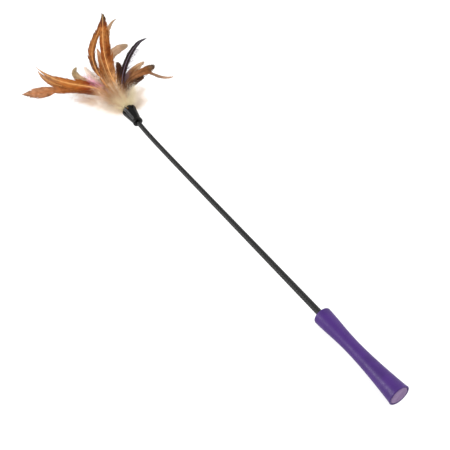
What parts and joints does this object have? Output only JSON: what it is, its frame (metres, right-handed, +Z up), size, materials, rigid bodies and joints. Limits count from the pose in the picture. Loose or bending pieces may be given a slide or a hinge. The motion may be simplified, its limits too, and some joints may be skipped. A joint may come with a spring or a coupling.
{
  "type": "feather cat wand",
  "caption": "Cat teaser wand: soft hourglass grip, long springy tapering rod, slotted rubber cup and a bunch of cockerel feathers with down.",
  "frame": {"origin": "centre of the flat end cap in the grip's butt, on the grip's axis", "axes": "+X along the wand from the butt to the feathers, +Z up as it lies on a table"},
  "size_m": [0.5947, 0.1541, 0.0881],
  "materials": {
    "grip": "satin, finely pebbled purple thermoplastic rubber",
    "end_cap": "matt paler mauve thermoplastic rubber",
    "handle_core": "moulded black",
    "rod_core": "bare glass-fibre rod",
    "rod_cover": "satin black braid, coated",
    "cup": "satin black",
    "glue": "set hot-melt glue",
    "thread": "whipped thread",
    "rust_feather": "glossy rust-brown cockerel hackle",
    "tan_feather": "pale tan hackle",
    "salmon_feather": "slim salmon-tan hackle",
    "olive_feather": "pale olive-edged feather",
    "dark_feather": "dark brown hackle",
    "black_feather": "glossy black hackle",
    "down": "cream down",
    "pink_down": "pink dyed down"
  },
  "bodies": {
    "root": {"grip": "grip", "end_cap": "end_cap", "handle_core": "handle_core", "rod_core": "rod_core", "rod_cover": "rod_cover"},
    "tip": {"cup": "cup"},
    "bunch": {"quill_plug": "glue", "binding": "thread", "feather_left_long": "rust_feather", "feather_left_middle": "rust_feather", "feather_left_upper": "rust_feather", "feather_top_left": "rust_feather", "feather_top_right": "rust_feather", "feather_top_pale": "tan_feather", "feather_top_back": "tan_feather", "feather_leaf": "tan_feather", "feather_black_slim": "black_feather", "feather_dark_short": "dark_feather", "feather_tan_right": "tan_feather", "feather_dark_tip": "rust_feather", "feather_dark_low": "dark_feather", "feather_salmon_slim": "salmon_feather", "feather_olive": "olive_feather", "feather_speckled": "down", "plume_pink": "pink_down", "plume_left": "down", "plume_low_left": "down", "plume_right": "down", "plume_low_right": "down", "plume_top": "down", "plume_top_right": "down", "plume_top_left": "down", "plume_under": "down"}
  },
  "joints": [
    {"name": "rod_flex", "type": "hinge", "parent": "root", "child": "tip", "pos_m": [0.23, 0, 0], "axis": [0, 0, 1], "range_deg": [-25, 25], "stiffness_Nm_per_rad": 1.8, "deforming": ["rod_core", "rod_cover"]},
    {"name": "bunch_pull", "type": "slide", "parent": "tip", "child": "bunch", "axis": [0.9954, -0.0958, 0], "range_m": [0, 0.025]}
  ]
}
